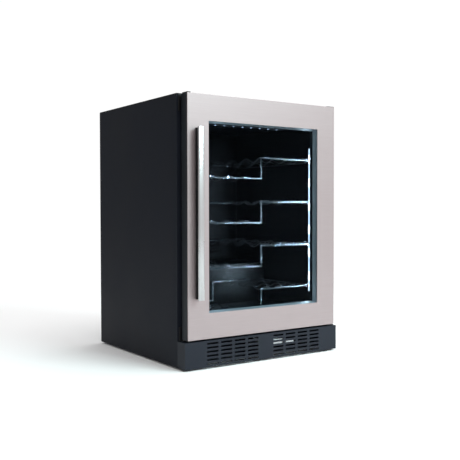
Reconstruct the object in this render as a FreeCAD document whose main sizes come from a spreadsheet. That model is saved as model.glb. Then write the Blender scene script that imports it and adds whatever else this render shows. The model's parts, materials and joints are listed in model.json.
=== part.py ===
import FreeCAD, Part
import math
import os
from types import SimpleNamespace

import Sketcher
from FreeCAD import Placement, Rotation, Vector

# Undercounter wine cooler for a 600 mm niche: foamed cabinet, glazed steel door hinged on the
# right, four stepped wire racks, forced-air cooling and a grille plinth.
# Frame: +Z up, the front faces -Y, origin under the middle of the whole outline, on the floor.

doc = FreeCAD.newDocument("WineCooler")
sheet = doc.addObject("Spreadsheet::Sheet", "Sizes")

driving = {
    # cabinet
    "CabinetWidth": 595,
    "CabinetHeight": 820,
    "CabinetDepth": 536,
    "FootGap": 5,
    "SheetWall": 1.2,
    "TopThickness": 3,
    "BackRecess": 3,
    "SideFlange": 16,
    "FrontTrim": 2,
    "LinerWall": 2,
    "FoamSide": 32.3,
    "FoamTop": 50,
    "FoamBack": 42,
    "FoamFloor": 38,
    "FoamStep": 30,
    # duct under the floor and machine bay behind it
    "DuctHeight": 90,
    "BayHeight": 240,
    "BayDepth": 190,
    "LouvrePitch": 12,
    # plinth
    "KickHeight": 79.5,
    "KickWall": 3,
    "SlotWidth": 40,
    "SlotHeight": 5.5,
    "SlotColumnPitch": 50,
    "SlotRowPitch": 12.2,
    "SlotInset": 30,
    "SlotTopDrop": 9,
    # door
    "DoorGap": 10,
    "DoorThickness": 34,
    "DoorInset": 10.5,
    "DoorTopDrop": 2.7,
    "DoorBottomGap": 5.7,
    "FrameSide": 74,
    "FrameTop": 78.6,
    "FrameBottom": 77.2,
    "SkinWall": 1.2,
    "SkinReturn": 3,
    "DoorGroove": 2,
    "PaneThickness": 4,
    "PaneGap": 14,
    "PaneOverlap": 11,
    "SpacerWidth": 7,
    "SpacerReveal": 1.5,
    "CoreLip": 4,
    "GasketWidth": 12,
    "GasketDrop": 10,
    "SealClearance": 0.3,
    # handle
    "HandleProud": 27,
    "HandleWidth": 21.3,
    "HandleLength": 508,
    "HandleInset": 20.3,
    "HandleDrop": 99.3,
    "HandleWall": 5,
    "HandleFoot": 3,
    "HandleFootInset": 5.7,
    # hinges
    "HingeInset": 11,
    "PinDiameter": 8,
    "BushWall": 2,
    "BushDepth": 20,
    "RunningClearance": 0.05,
    "BracketPlate": 2.5,
    # racks
    "FirstShelf": 152,
    "ShelfPitch": 141,
    "TierStep": 66,
    "RodDiameter": 5,
    "WireDiameter": 4,
    "RackHalfWidth": 242,
    "RackSetback": 14,
    "RiserPlace": 24.5,
    "RailWidth": 18,
    "RailThickness": 4,
    "RailClearance": 0.3,
    # air duct behind the racks
    "AirDuctHalfWidth": 190,
    "AirDuctDepth": 42,
    "DotPitch": 35,
    "EvaporatorFanRadius": 46,
    # machine bay
    "CompressorRadius": 72,
    "CompressorHeight": 150,
    "CondenserFanRadius": 60,
    # feet
    "FootRadius": 20,
    "FootPadHeight": 4,
    "StemRadius": 4,
    "StemLength": 36,
}
rack_count = 4
slot_columns = 4
slot_rows = 6


class Size:
    """A length in mm together with the sheet formula that gives it."""

    def __init__(self, number, formula):
        self.number = number
        self.formula = formula

    def __add__(self, other):
        return Size(self.number + number(other), f"({self.formula} + {formula(other)})")

    def __sub__(self, other):
        return Size(self.number - number(other), f"({self.formula} - {formula(other)})")

    def __rsub__(self, other):
        return Size(number(other) - self.number, f"({formula(other)} - {self.formula})")

    def __mul__(self, other):
        return Size(self.number * number(other), f"({self.formula} * {formula(other)})")

    def __truediv__(self, other):
        return Size(self.number / number(other), f"({self.formula} / {formula(other)})")

    def __neg__(self):
        return Size(-self.number, f"(0 - {self.formula})")

    __radd__ = __add__
    __rmul__ = __mul__


def number(value):
    return value.number if isinstance(value, Size) else float(value)


def formula(value):
    return value.formula if isinstance(value, Size) else repr(float(value))


def make_cells():
    cells = {}
    for row, (name, value) in enumerate(driving.items(), start=1):
        sheet.set(f"A{row}", name)
        sheet.set(f"B{row}", str(value))
        sheet.setAlias(f"B{row}", name)
        cells[name] = Size(float(value), f"Sizes.{name}")
    return SimpleNamespace(**cells)


size = make_cells()
doc.recompute()

# Planes that several pieces share.
half_width = size.CabinetWidth / 2
inner_half = half_width - size.SheetWall
total_depth = size.CabinetDepth + size.DoorGap + size.DoorThickness + size.HandleProud
back = total_depth / 2
cabinet_front = back - size.CabinetDepth
door_back = cabinet_front - size.DoorGap
door_front = door_back - size.DoorThickness
handle_front = door_front - size.HandleProud
bottom = size.FootGap
top = size.CabinetHeight
lid_underside = top - size.TopThickness
back_face = back - size.BackRecess
back_inside = back_face - size.SheetWall
trim_back = cabinet_front + size.FrontTrim
duct_top = bottom + size.DuctHeight
bay_top = bottom + size.BayHeight
bay_front = back_inside - size.BayDepth
tray_top = bottom + size.SheetWall

# Inside of the cold compartment.
room_half = inner_half - size.FoamSide - size.LinerWall
room_floor = duct_top + size.SheetWall + size.FoamFloor + size.LinerWall
room_ceiling = lid_underside - size.FoamTop - size.LinerWall
room_back = back_inside - size.FoamBack - size.LinerWall
step_front = bay_front - size.SheetWall - size.FoamStep - size.LinerWall
step_top = bay_top + size.SheetWall + size.FoamStep + size.LinerWall
duct_cover_front = room_back - size.AirDuctDepth
fan_z = room_ceiling - 110
panel_middle = cabinet_front + 58
inlet_x = -255
inlet_z = 44

# Door outline and window.
door_half = half_width - size.DoorInset
door_bottom = bottom + size.KickHeight + size.DoorBottomGap
door_top = top - size.DoorTopDrop
window_half = door_half - size.FrameSide
window_bottom = door_bottom + size.FrameBottom
window_top = door_top - size.FrameTop
skin_inside = door_front + size.SkinWall
gap_front = skin_inside + size.PaneThickness
gap_back = gap_front + size.PaneGap
lip_front = gap_back + size.PaneThickness
pin_x = door_half - size.HingeInset
pin_y = door_front + size.DoorThickness / 2
pin_radius = size.PinDiameter / 2
tab_outer = half_width - size.KickWall - 1.5
tab_inner = pin_x + 3
seal_half = pin_x

on_axis = Size(0, "0 mm")

nodes = {}


def keep(label, piece):
    piece.Label = label
    nodes[label] = piece
    return piece


def span(middle, width):
    return (middle - width / 2, middle + width / 2)


def both(half):
    return (-half, half)


def box(name, x, y, z):
    piece = doc.addObject("Part::Box", name)
    for axis, side, (low, high) in (("x", "Length", x), ("y", "Width", y), ("z", "Height", z)):
        piece.setExpression(f"Placement.Base.{axis}", formula(low))
        piece.setExpression(side, f"{formula(high)} - {formula(low)}")
    return piece


turns = {
    "x": Rotation(Vector(0, 1, 0), 90),
    "y": Rotation(Vector(1, 0, 0), -90),
    "z": Rotation(),
}


def cylinder(name, radius, start, length, along="z"):
    piece = doc.addObject("Part::Cylinder", name)
    piece.Placement = Placement(Vector(), turns[along])
    for axis, value in zip("xyz", start):
        piece.setExpression(f"Placement.Base.{axis}", formula(value))
    piece.setExpression("Radius", formula(radius))
    piece.setExpression("Height", formula(length))
    return piece


def fuse(name, pieces):
    piece = doc.addObject("Part::MultiFuse", name)
    piece.Shapes = pieces
    piece.Refine = True
    return piece


def group(name, pieces):
    piece = doc.addObject("Part::Compound", name)
    piece.Links = pieces
    return piece


def cut(name, base, tools):
    tool = tools[0] if len(tools) == 1 else group(name + "_tools", tools)
    piece = doc.addObject("Part::Cut", name)
    piece.Base = base
    piece.Tool = tool
    return piece


def plain(name, shape, place=None):
    piece = doc.addObject("Part::Feature", name)
    piece.Shape = shape
    piece.Placement = place or Placement()
    return piece


def rectangle(x, y):
    return [(x[0], y[0]), (x[1], y[0]), (x[1], y[1]), (x[0], y[1])]


def grown(x, y, margin):
    return rectangle((x[0] - margin, x[1] + margin), (y[0] - margin, y[1] + margin))


def sketch_on(body, plane, level, loops, circles=()):
    """Closed straight-sided loops and circles, each point tied to the body's own axes."""
    sketch = body.newObject("Sketcher::SketchObject", body.Name + "_sketch")
    roles = {origin.Role: origin for origin in body.Origin.OriginFeatures}
    sketch.AttachmentSupport = (roles[plane], "")
    sketch.MapMode = "FlatFace"
    facing = -1 if plane == "XZ_Plane" else 1
    sketch.setExpression("AttachmentOffset.Base.z", formula(level * facing))

    def tie(kind, element, point, value):
        if kind == "Radius":
            index = sketch.addConstraint(Sketcher.Constraint(kind, element, number(value)))
        else:
            index = sketch.addConstraint(
                Sketcher.Constraint(kind, -1, 1, element, point, number(value)))
        sketch.setExpression(f"Constraints[{index}]", formula(value))

    for loop in loops:
        points = [Vector(number(u), number(v), 0) for u, v in loop]
        first = sketch.GeometryCount
        for start, end in zip(points, points[1:] + points[:1]):
            sketch.addGeometry(Part.LineSegment(start, end), False)
        count = len(points)
        for i in range(count):
            sketch.addConstraint(
                Sketcher.Constraint("Coincident", first + i, 2, first + (i + 1) % count, 1))
        for i, (u, v) in enumerate(loop):
            tie("DistanceX", first + i, 1, u)
            tie("DistanceY", first + i, 1, v)
    for u, v, radius in circles:
        element = sketch.addGeometry(
            Part.Circle(Vector(number(u), number(v), 0), Vector(0, 0, 1), number(radius)), False)
        tie("DistanceX", element, 3, u)
        tie("DistanceY", element, 3, v)
        tie("Radius", element, 0, radius)
    return sketch


def pad(body, plane, level, length, loops, circles=()):
    """Material from the plane at level, towards the positive side of the plane's axis."""
    feature = body.newObject("PartDesign::Pad", body.Name + "_pad")
    feature.Profile = sketch_on(body, plane, level, loops, circles)
    feature.setExpression("Length", formula(length))
    feature.Reversed = plane == "XZ_Plane"
    body.Tip = feature
    return feature


def pocket(body, plane, level, depth, loops, circles=()):
    """A cut from the plane at level, towards the positive side of the plane's axis."""
    feature = body.newObject("PartDesign::Pocket", body.Name + "_pocket")
    feature.Profile = sketch_on(body, plane, level, loops, circles)
    feature.setExpression("Length", formula(depth))
    feature.Reversed = plane != "XZ_Plane"
    body.Tip = feature
    return feature


def repeat(body, feature, pitch, count, reverse=False):
    """Copies of a feature up the sketch's vertical axis, or down it when reverse is set."""
    pattern = body.newObject("PartDesign::LinearPattern", body.Name + "_pattern")
    pattern.Originals = [feature]
    pattern.Direction = (feature.Profile[0], ["V_Axis"])
    pattern.Reversed = reverse
    pattern.setExpression("Length", formula(pitch * (count - 1)))
    pattern.Occurrences = count
    body.Tip = pattern
    return pattern


def turned_profile(body, outline):
    """The outline, in radius and height, turned about the body's own upright axis."""
    feature = body.newObject("PartDesign::Revolution", body.Name + "_turn")
    profile = sketch_on(body, "XZ_Plane", on_axis, [outline])
    feature.Profile = profile
    feature.ReferenceAxis = (profile, ["V_Axis"])
    feature.Angle = 360
    body.Tip = feature


def new_body(label):
    return keep(label, doc.addObject("PartDesign::Body", label))


def ring(label, y, outer_x, outer_z, inner_x, inner_z):
    """A rectangular frame that faces the front, from y[0] back to y[1]."""
    body = new_body(label)
    pad(body, "XZ_Plane", y[0], y[1] - y[0],
        [rectangle(outer_x, outer_z), rectangle(inner_x, inner_z)])
    return body


def bent_tube(points, radius, bend):
    """A round tube along straight runs, with an arc of the same radius at each corner."""
    edges = []
    start = points[0]
    for before, corner, after in zip(points, points[1:], points[2:]):
        into = (corner - before).normalize()
        out = (after - corner).normalize()
        turn = into.getAngle(out)
        reach = bend * math.tan(turn / 2)
        inward = (out - into).normalize()
        middle = corner + inward * (bend / math.cos(turn / 2) - bend)
        arc_start = corner - into * reach
        arc_end = corner + out * reach
        edges.append(Part.LineSegment(start, arc_start).toShape())
        edges.append(Part.Arc(arc_start, middle, arc_end).toShape())
        start = arc_end
    edges.append(Part.LineSegment(start, points[-1]).toShape())
    path = Part.Wire(edges)
    section = Part.Wire([Part.makeCircle(radius, points[0], points[1] - points[0])])
    return path.makePipeShell([section], True, False)


def fan_shape(tip_radius, hub_radius, depth, count):
    """An axial fan about +Z: a hub and pitched blades in one moulding."""
    wheel = Part.makeCylinder(hub_radius, depth)
    thickness = 1.6
    chord = depth * 1.15
    for i in range(count):
        blade = Part.makeBox(tip_radius - hub_radius + 2, chord, thickness)
        blade.translate(Vector(hub_radius - 2, -chord / 2, -thickness / 2))
        blade.rotate(Vector(), Vector(1, 0, 0), 32)
        blade.translate(Vector(0, 0, depth / 2))
        blade.rotate(Vector(), Vector(0, 0, 1), 360 * i / count)
        wheel = wheel.fuse(blade)
    return wheel.removeSplitter()


def fins(label, x, y, z, along, gap, count):
    """A finned block: a box with slots open to the top, count of them in the along direction."""
    block = box(label + "_block", x, y, z)
    slots = []
    low, high = x if along == "x" else y
    pitch = (high - low) / (count + 1)
    for i in range(count):
        where = span(low + pitch * (i + 1), gap)
        slot_x = where if along == "x" else (x[0] - 1, x[1] + 1)
        slot_y = where if along == "y" else (y[0] - 1, y[1] + 1)
        slots.append(box(f"{label}_slot", slot_x, slot_y, (z[0] + 8, z[1] + 1)))
    return keep(label, cut(label, block, slots))


# --- cabinet shell -------------------------------------------------------------------------

def make_shell():
    for label, side in (("side_panel_left", -1), ("side_panel_right", 1)):
        body = new_body(label)
        outside = half_width * side
        inside = inner_half * side
        flange = (half_width - size.SideFlange) * side
        pad(body, "XY_Plane", bottom, lid_underside - bottom, [[
            (outside, back), (outside, cabinet_front), (flange, cabinet_front),
            (flange, cabinet_front + size.SheetWall), (inside, cabinet_front + size.SheetWall),
            (inside, back)]])
    keep("top_panel", box("top_panel", both(half_width), (cabinet_front, back), (lid_underside, top)))
    keep("rear_panel", box("rear_panel", both(inner_half), (back_inside, back_face),
                           (bay_top, lid_underside)))

    wall = new_body("machine_bay_wall")
    sheet_edge = size.SheetWall
    pad(wall, "YZ_Plane", -inner_half, inner_half * 2, [[
        (trim_back, duct_top), (bay_front, duct_top), (bay_front, bay_top), (back_inside, bay_top),
        (back_inside, bay_top + sheet_edge), (bay_front - sheet_edge, bay_top + sheet_edge),
        (bay_front - sheet_edge, duct_top + sheet_edge), (trim_back, duct_top + sheet_edge)]])

    def room_profile(front, margin):
        floor = room_floor - margin
        step = step_front + margin
        return [(front, floor), (step, floor), (step, step_top - margin),
                (room_back + margin, step_top - margin), (room_back + margin, room_ceiling + margin),
                (front, room_ceiling + margin)]

    liner = new_body("inner_liner")
    outer_half = room_half + size.LinerWall
    pad(liner, "YZ_Plane", -outer_half, outer_half * 2, [room_profile(trim_back, size.LinerWall)])
    pocket(liner, "YZ_Plane", -room_half, room_half * 2, [room_profile(trim_back - 1, 0)])

    foam = new_body("insulation_foam")
    pad(foam, "YZ_Plane", -inner_half, inner_half * 2, [[
        (trim_back, duct_top + sheet_edge), (bay_front - sheet_edge, duct_top + sheet_edge),
        (bay_front - sheet_edge, bay_top + sheet_edge), (back_inside, bay_top + sheet_edge),
        (back_inside, lid_underside), (trim_back, lid_underside)]])
    pocket(foam, "YZ_Plane", -outer_half, outer_half * 2,
           [room_profile(trim_back - 1, size.LinerWall)])

    ring("front_frame", (cabinet_front, trim_back), both(half_width - size.SideFlange),
         (duct_top, lid_underside), both(room_half), (room_floor, room_ceiling))


foot_places = {
    "front_left": (-1, cabinet_front + 45),
    "front_right": (1, cabinet_front + 45),
    "rear_left": (-1, back - 60),
    "rear_right": (1, back - 60),
}
foot_x = half_width - 45


def make_base():
    tray_y = (cabinet_front + size.SheetWall, back_inside)
    plate = box("tray_plate", both(inner_half), tray_y, (bottom, tray_top))
    lips = [box("tray_lip", x, tray_y, (tray_top, tray_top + 14))
            for x in ((-inner_half, -inner_half + 1.5), (inner_half - 1.5, inner_half))]
    holes = []
    nuts = []
    for corner, (side, y) in foot_places.items():
        centre = (foot_x * side, y)
        holes.append(cylinder("foot_hole", size.StemRadius + 0.5, (*centre, bottom - 1), 10))
        nut = cylinder("nut_boss", 9, (*centre, tray_top), 12)
        bore = cylinder("nut_bore", size.StemRadius + size.RunningClearance, (*centre, bottom), 20)
        nuts.append(cut("foot_nut", nut, [bore]))
        pad_disc = cylinder("foot_pad", size.FootRadius, (*centre, 0), size.FootPadHeight)
        stem = cylinder("foot_stem", size.StemRadius, (*centre, size.FootPadHeight - 1),
                        size.StemLength + 1)
        keep("foot_" + corner, fuse("foot_" + corner, [pad_disc, stem]))
    keep("base_tray", cut("base_tray", fuse("tray_sheet", [plate] + lips), holes))
    keep("foot_nuts", group("foot_nuts", nuts))

    cover = new_body("machine_cover")
    edge = 2
    pad(cover, "XZ_Plane", back_inside, size.SheetWall,
        [rectangle(both(inner_half - edge), (tray_top + edge, bay_top - edge))])
    pocket(cover, "XZ_Plane", back_inside - 1, size.SheetWall + 2,
           [rectangle(span(inlet_x, 28), span(inlet_z, 22))])
    louvres = pocket(cover, "XZ_Plane", back_inside - 1, size.SheetWall + 2,
                     [rectangle(span(x, 110), (bay_top - 34, bay_top - 30))
                      for x in (-130, 0, 130)])
    repeat(cover, louvres, size.LouvrePitch, 12, reverse=True)


def make_plinth():
    kick = new_body("kick_grille")
    wall = size.KickWall
    kick_top = bottom + size.KickHeight
    pad(kick, "XZ_Plane", door_front, cabinet_front - door_front,
        [rectangle(both(half_width), (bottom, kick_top))])
    pocket(kick, "XZ_Plane", door_front + wall, size.CabinetDepth,
           [rectangle(both(half_width - wall), (bottom - 1, kick_top - wall))])
    # the top wall stops short of the cabinet, which leaves room for the hinge bracket's tab
    pocket(kick, "XZ_Plane", cabinet_front - 6, size.CabinetDepth,
           [rectangle(both(half_width - wall), (kick_top - wall - 1, kick_top + 1))])
    slots = []
    slot_top = kick_top - size.SlotTopDrop + size.SlotHeight / 2
    for column in range(slot_columns):
        near = size.SlotInset + size.SlotColumnPitch * column
        for x in ((near, near + size.SlotWidth), (-near - size.SlotWidth, -near)):
            slots.append(rectangle(x, (slot_top - size.SlotHeight, slot_top)))
    row = pocket(kick, "XZ_Plane", door_front - 1, wall + 2, slots)
    repeat(kick, row, size.SlotRowPitch, slot_rows, reverse=True)


# --- cold compartment ----------------------------------------------------------------------

def rack_levels(shelf):
    left = size.FirstShelf + size.ShelfPitch * shelf
    return left, left + size.TierStep


def rack_back(shelf):
    """The lowest rack is short, because the machine bay rises behind it."""
    return step_front - size.LinerWall - 9 if shelf == 0 else duct_cover_front - 10


rod_radius = size.RodDiameter / 2
wire_radius = size.WireDiameter / 2
rack_front = cabinet_front + size.RackSetback


def make_room():
    rails = []
    for shelf in range(rack_count):
        for side, level in zip((-1, 1), rack_levels(shelf)):
            rail_top = level - rod_radius - size.RailClearance
            x = (room_half - size.RailWidth, room_half)
            if side < 0:
                x = (-room_half, size.RailWidth - room_half)
            rails.append(box("rail", x, (rack_front + 42, rack_back(shelf) + 6),
                             (rail_top - size.RailThickness, rail_top)))
    keep("shelf_rails", group("shelf_rails", rails))

    duct = new_body("duct_cover")
    wall = 2
    low = step_top + 14
    high = room_ceiling - 30
    cover_half = size.AirDuctHalfWidth
    pad(duct, "XZ_Plane", duct_cover_front, size.AirDuctDepth,
        [rectangle(both(cover_half), (low, high))])
    pocket(duct, "XZ_Plane", duct_cover_front + wall, size.AirDuctDepth,
           [rectangle(both(cover_half - wall), (low + wall, high - wall))])
    pocket(duct, "XZ_Plane", duct_cover_front - 1, wall + 2, [],
           [(0, fan_z, size.EvaporatorFanRadius + 4)])
    intake = pocket(duct, "XZ_Plane", duct_cover_front - 1, wall + 2,
                    [rectangle(span(x, 90), (low + 20, low + 26)) for x in (-110, 0, 110)])
    repeat(duct, intake, size.LouvrePitch, 5)

    fins("evaporator", both(cover_half - 40), (duct_cover_front + 10, room_back),
         (fan_z - 230, fan_z - 90), "x", 3, 24)
    plate = box("fan_plate", both(size.EvaporatorFanRadius + 16),
                (duct_cover_front + wall, duct_cover_front + wall + 3),
                span(fan_z, size.EvaporatorFanRadius * 2 + 32))
    opening = cylinder("fan_opening", size.EvaporatorFanRadius + 4,
                       (0, duct_cover_front, fan_z), 20, "y")
    keep("evaporator_fan_shroud", cut("evaporator_fan_shroud", plate, [opening]))
    keep("evaporator_fan_motor", cylinder(
        "evaporator_fan_motor", 20, (0, room_back - 18, fan_z), 18, "y"))
    blades = fan_shape(number(size.EvaporatorFanRadius), 13, 14, 7)
    keep("evaporator_fan_blades", plain("evaporator_fan_blades", blades, Placement(
        Vector(0, number(room_back) - 18.5 - 14, number(fan_z)), turns["y"])))
    keep("charcoal_filter", cylinder(
        "charcoal_filter", 26, (-130, duct_cover_front - 7, fan_z + 30), 7, "y"))
    keep("temperature_sensor", box("temperature_sensor", (-room_half, 14 - room_half), (30, 62),
                                   (size.FirstShelf + size.ShelfPitch * 2 + 60,
                                    size.FirstShelf + size.ShelfPitch * 2 + 84)))

    panel_y = (panel_middle - 22, panel_middle + 22)
    panel_bottom = room_ceiling - 23
    keep("control_panel", box("control_panel", both(150), panel_y, (panel_bottom, room_ceiling)))
    keep("display_window", box("display_window", both(45), (panel_y[0] - 1.5, panel_y[0]),
                               (panel_bottom + 4, room_ceiling - 4)))
    dots = [cylinder("status_dot", 2.5, ((i - 3.5) * size.DotPitch, panel_middle,
                                         panel_bottom - 1.5), 1.5) for i in range(8)]
    keep("status_leds", group("status_leds", dots))

    channels = []
    diffusers = []
    strip_z = (size.FirstShelf + 41, size.FirstShelf + 533)
    for side in (-1, 1):
        wall_x = room_half * side
        face_x = (room_half - 7) * side
        front_x = (room_half - 9) * side
        x = (face_x, wall_x) if side > 0 else (wall_x, face_x)
        channels.append(box("led_channel", x, span(rack_front + 26, 18), strip_z))
        x = (front_x, face_x) if side > 0 else (face_x, front_x)
        diffusers.append(box("led_diffuser", x, span(rack_front + 26, 13),
                             (strip_z[0] + 2, strip_z[1] - 2)))
    keep("led_channels", group("led_channels", channels))
    keep("led_diffusers", group("led_diffusers", diffusers))


def wave_shape(length, pitch, height, radius):
    """A wire along +Y with a cradle per bottle, level at both ends."""
    half = pitch / 2
    quarter = pitch / 4
    bend = (quarter ** 2 + (height / 2) ** 2) / height
    waves = int((length - 20) // pitch)
    lead = (length - waves * pitch) / 2
    slope = math.asin(quarter / bend)
    rise = bend - bend * math.cos(slope / 2)
    step = bend * math.sin(slope / 2)
    edges = [Part.LineSegment(Vector(0, 0, 0), Vector(0, lead, 0)).toShape()]
    for i in range(waves):
        y = lead + pitch * i
        crest = Vector(0, y, 0)
        falling = Vector(0, y + quarter, -height / 2)
        trough = Vector(0, y + half, -height)
        rising = Vector(0, y + pitch - quarter, -height / 2)
        last = Vector(0, y + pitch, 0)
        edges.append(Part.Arc(crest, crest + Vector(0, step, -rise), falling).toShape())
        edges.append(Part.Arc(falling, trough, rising).toShape())
        edges.append(Part.Arc(rising, last + Vector(0, -step, -rise), last).toShape())
    edges.append(Part.LineSegment(last, Vector(0, length, 0)).toShape())
    section = Part.Wire([Part.makeCircle(radius, Vector(0, 0, 0), Vector(0, 1, 0))])
    return Part.Wire(edges).makePipeShell([section], True, False)


def make_racks():
    for shelf in range(rack_count):
        left, right = rack_levels(shelf)
        back_y = rack_back(shelf)
        pieces = []
        for y in (rack_front, back_y):
            pieces.append(cylinder("rod_left", rod_radius, (-size.RackHalfWidth, y, left),
                                   size.RackHalfWidth + size.RiserPlace - rod_radius, "x"))
            pieces.append(cylinder("rod_right", rod_radius,
                                   (size.RiserPlace + rod_radius, y, right),
                                   size.RackHalfWidth - size.RiserPlace - rod_radius, "x"))
            pieces.append(cylinder("riser", rod_radius, (size.RiserPlace, y, left - rod_radius),
                                   right - left + size.RodDiameter))
        length = number(back_y - rack_front)
        wave = wave_shape(length, 84, 12, number(wire_radius))
        lift = rod_radius + wire_radius
        for x, level in [(x, left) for x in (-222, -156, -90, -24)] + [
                (x, right) for x in (56, 112, 168, 224)]:
            place = Vector(x, number(rack_front), number(level + lift))
            pieces.append(plain("cradle_wire", wave, Placement(place, Rotation())))
        keep(f"shelf_{shelf + 1}", group(f"shelf_{shelf + 1}", pieces))


# --- refrigeration -------------------------------------------------------------------------

compressor_x = -140
condenser_x = (90, 230)
tube_radius = 3


def make_machine():
    middle_y = bay_front + size.BayDepth / 2
    shell_bottom = tray_top + 22
    dome = doc.addObject("PartDesign::Body", "compressor_shell")
    radius = size.CompressorRadius
    height = size.CompressorHeight
    turned_profile(dome, [
        (0, 0), (radius - 16, 0), (radius, 14), (radius, height - 30), (radius - 20, height - 6),
        (radius - 40, height), (0, height)])
    dome.setExpression("Placement.Base.x", formula(compressor_x))
    dome.setExpression("Placement.Base.y", formula(middle_y))
    dome.setExpression("Placement.Base.z", formula(shell_bottom - 1))
    plate = box("compressor_plate", span(compressor_x, 190), span(middle_y, 130),
                (shell_bottom - 3, shell_bottom))
    keep("compressor", fuse("compressor", [dome, plate]))
    corners = [(compressor_x + x, middle_y + y) for x in (-80, 80) for y in (-50, 50)]
    keep("compressor_grommets", group("compressor_grommets", [
        cylinder("grommet", 10, (x, y, tray_top), 19) for x, y in corners]))
    relay_x = compressor_x + radius
    keep("relay_cover", box("relay_cover", (relay_x, relay_x + 26), span(middle_y, 48),
                            (shell_bottom + 34, shell_bottom + 84)))

    fan_radius = size.CondenserFanRadius
    block_y = span(middle_y, 160)
    fins("condenser", condenser_x, block_y, (tray_top + 14, tray_top + 174), "x", 3, 22)
    fan_height = tray_top + 94
    frame = box("cooling_fan_plate", (condenser_x[0] - 8, condenser_x[0] - 4), block_y,
                (tray_top, tray_top + 174))
    opening = cylinder("cooling_fan_opening", fan_radius + 5,
                       (condenser_x[0] - 20, middle_y, fan_height), 40, "x")
    keep("condenser_fan_shroud", cut("condenser_fan_shroud", frame, [opening]))
    motor_x = condenser_x[0] - 62
    motor = cylinder("cooling_motor", 24, (motor_x, middle_y, fan_height), 34, "x")
    stand = box("cooling_motor_stand", (motor_x + 6, motor_x + 26), span(middle_y, 30),
                (tray_top, fan_height))
    keep("condenser_fan_motor", fuse("condenser_fan_motor", [motor, stand]))
    blades = fan_shape(number(fan_radius), 16, 16, 5)
    keep("condenser_fan_blades", plain("condenser_fan_blades", blades, Placement(
        Vector(motor_x + 34.5, number(middle_y), number(fan_height)), turns["x"])))

    tray = box("drip_tray_block", (condenser_x[0] - 2, condenser_x[1] + 2), span(middle_y, 168),
               (tray_top, tray_top + 13))
    hollow = box("drip_tray_hollow", condenser_x, span(middle_y, 164),
                 (tray_top + 2, tray_top + 14))
    keep("drip_tray", cut("drip_tray", tray, [hollow]))
    drier_y = middle_y + 66
    keep("filter_drier", cylinder("filter_drier", 9, (-30, drier_y, tray_top + 70), 90))

    roof = number(bay_top)
    floor = number(tray_top)
    y = number(middle_y)
    shell_top = number(shell_bottom + height) - 1
    tubes = [
        [Vector(compressor_x, y, shell_top), Vector(compressor_x, y, shell_top + 24),
         Vector(150, y, shell_top + 24), Vector(150, y, floor + 174)],
        [Vector(-30, number(drier_y), floor + 160), Vector(-30, number(drier_y), floor + 205),
         Vector(180, number(drier_y), floor + 205), Vector(180, number(drier_y), floor + 174)],
        [Vector(-30, number(drier_y), floor + 70), Vector(-30, number(drier_y), floor + 30),
         Vector(-30, y - 20, floor + 30), Vector(-30, y - 20, roof)],
    ]
    keep("refrigerant_pipes", group("refrigerant_pipes", [
        plain("tube", bent_tube(points, tube_radius, 12)) for points in tubes]))

    board_y = (door_front + 18, door_front + 108)
    keep("power_board_box", fuse("power_board_box", [
        box("board_box_high", (28, 76), board_y, (tray_top + 36, tray_top + 56)),
        box("board_box_low", (70, 116), board_y, (tray_top + 36, tray_top + 46)),
        box("board_box_foot", (40, 60), (board_y[1] - 40, board_y[1] - 10),
            (tray_top, tray_top + 37))]))
    inlet_block = box("inlet_block", span(inlet_x, 28), (back_inside - 16, back_face + 1),
                      span(inlet_z, 22))
    inlet_mouth = box("inlet_mouth", span(inlet_x, 22), (back_face - 12, back_face + 2),
                      span(inlet_z, 16))
    keep("power_inlet", cut("power_inlet", inlet_block, [inlet_mouth]))


# --- door ----------------------------------------------------------------------------------

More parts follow.
